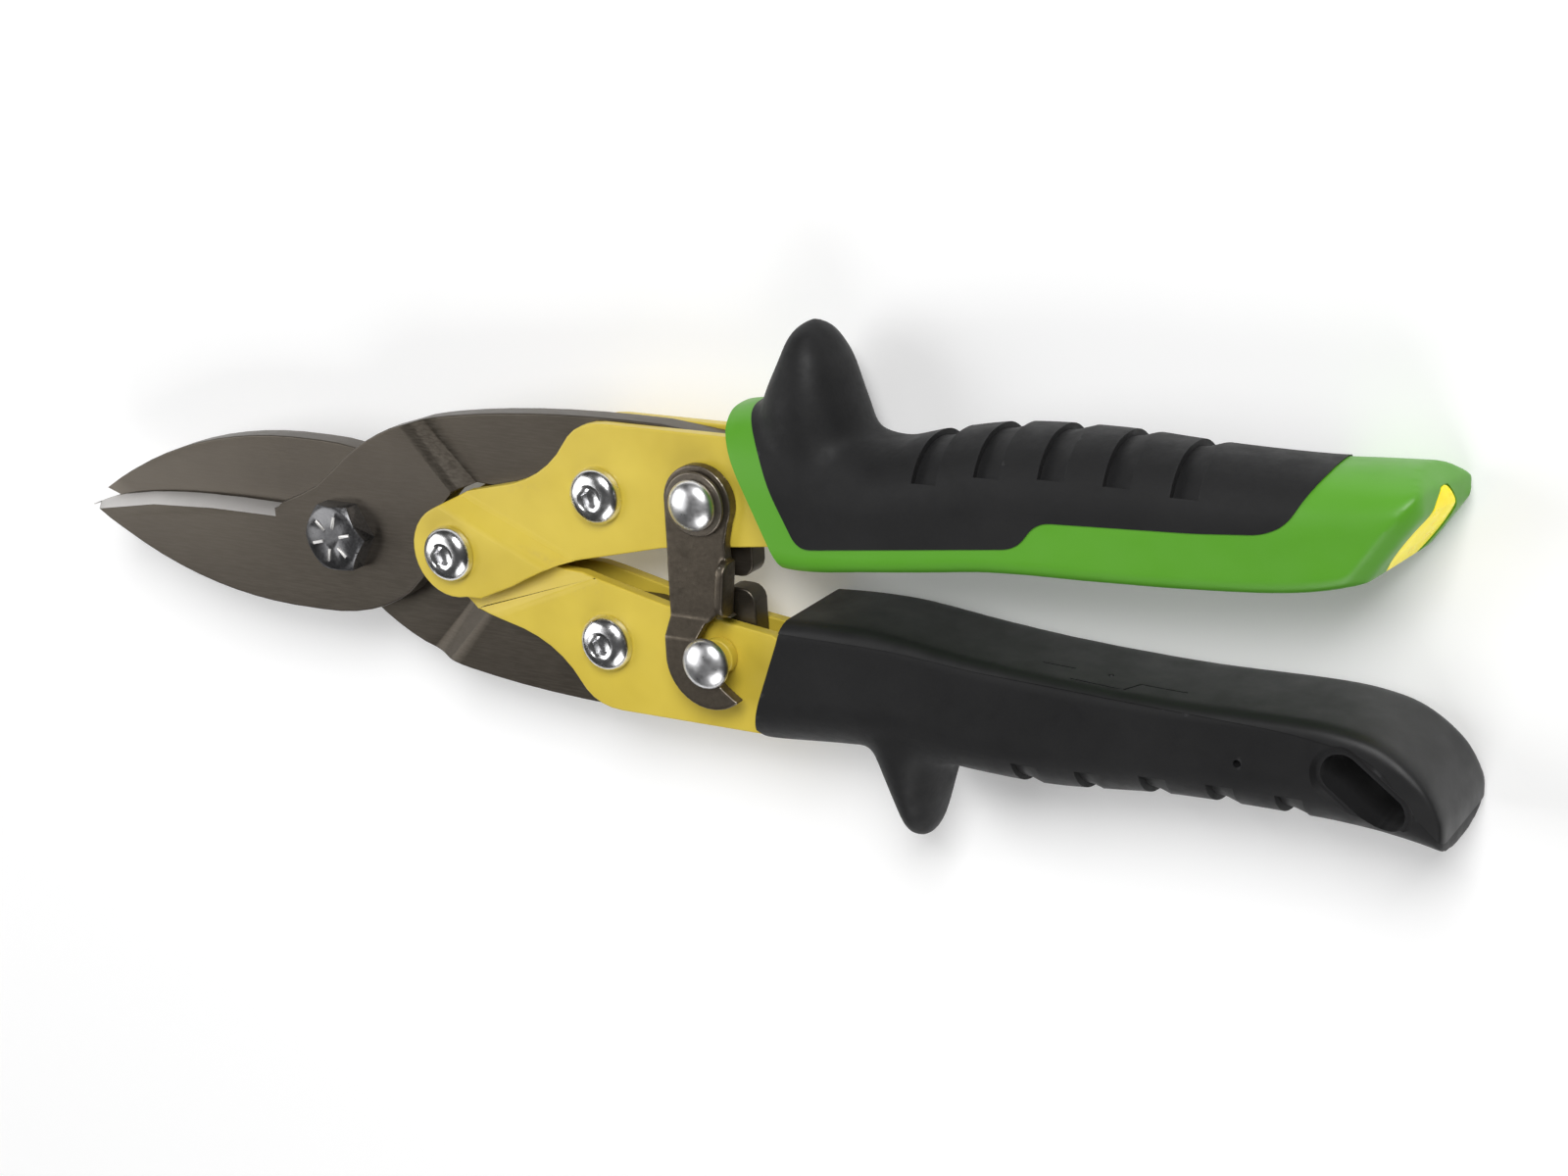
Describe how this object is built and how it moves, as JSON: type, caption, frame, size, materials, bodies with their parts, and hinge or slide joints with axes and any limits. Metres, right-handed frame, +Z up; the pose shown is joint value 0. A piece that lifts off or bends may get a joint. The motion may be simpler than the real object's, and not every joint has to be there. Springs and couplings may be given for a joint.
{
  "type": "aviation snips",
  "caption": "Compound-action aviation snips: joggled blades on a main bolt, two-plate handles on a rear pivot, moulded grips and a swinging hook latch.",
  "frame": {"origin": "centre of the bounding box on the surface that the closed tool lies on", "axes": "+X from the jaws to the butts of the grips, +Y towards the green upper grip, +Z up out of the side that carries the latch"},
  "size_m": [0.2565, 0.0808, 0.0218],
  "materials": {
    "blade_steel": "dark brown-grey oxide with a bright ground edge",
    "bolt_steel": "dark oiled steel",
    "yellow_coating": "smooth satin powder coat",
    "plated_steel": "bright nickel plating",
    "spring_steel": "oiled spring wire",
    "latch_steel": "tumbled bronze-grey steel",
    "green_plastic": "satin moulded plastic",
    "black_rubber": "soft matt overmould",
    "black_plastic": "satin moulded plastic",
    "yellow_plastic": "glossy moulded inlay"
  },
  "bodies": {
    "lower_handle": {"lower_front_plate": "yellow_coating", "lower_rear_plate": "yellow_coating", "handle_pivot_screw": "plated_steel", "handle_pivot_nut": "plated_steel", "handle_pivot_bush": "plated_steel", "return_spring": "spring_steel", "lower_link_screw": "plated_steel", "lower_link_nut": "plated_steel", "lower_link_bush": "plated_steel", "keeper_rivet": "plated_steel", "keeper_spacer": "yellow_coating", "lower_tang_spacers": "plated_steel", "lower_tang_rivets": "plated_steel", "lower_grip_base": "black_plastic", "lower_grip_overmold": "black_rubber"},
    "upper_handle": {"upper_front_plate": "yellow_coating", "upper_rear_plate": "yellow_coating", "upper_link_screw": "plated_steel", "upper_link_nut": "plated_steel", "upper_link_bush": "plated_steel", "latch_rivet": "plated_steel", "latch_washer": "latch_steel", "upper_tang_spacers": "plated_steel", "upper_tang_rivets": "plated_steel", "upper_grip_base": "green_plastic", "upper_grip_overmold": "black_rubber", "upper_grip_insert": "yellow_plastic"},
    "rear_blade": {"rear_blade": "blade_steel", "pivot_bolt": "bolt_steel", "pivot_nut": "bolt_steel"},
    "front_blade": {"front_blade": "blade_steel"},
    "latch": {"latch_plate": "latch_steel"}
  },
  "joints": [
    {"name": "handle_open", "type": "hinge", "parent": "lower_handle", "child": "upper_handle", "pos_m": [-0.04345, -0.0021, 0.0105], "axis": [0, 0, 1], "range_deg": [0, 25], "deforming": ["return_spring"]},
    {"name": "rear_blade_swing", "type": "hinge", "parent": "lower_handle", "child": "rear_blade", "pos_m": [-0.01385, -0.0147, 0.0105], "axis": [0, 0, 1], "range_deg": [0, 6]},
    {"name": "front_blade_swing", "type": "hinge", "parent": "rear_blade", "child": "front_blade", "pos_m": [-0.06825, -0.0021, 0.0105], "axis": [0, 0, 1], "range_deg": [0, 13.3]},
    {"name": "latch_swing", "type": "hinge", "parent": "upper_handle", "child": "latch", "pos_m": [0.00645, 0.0118, 0.0155], "axis": [0, 0, -1], "range_deg": [0, 52]}
  ],
  "couplings": [
    {"joint": "rear_blade_swing", "follows": "handle_open", "ratio": 0.23666},
    {"joint": "front_blade_swing", "follows": "handle_open", "ratio": 0.52668},
    {"joint": "latch_swing", "follows": "handle_open", "ratio": 2.08}
  ]
}
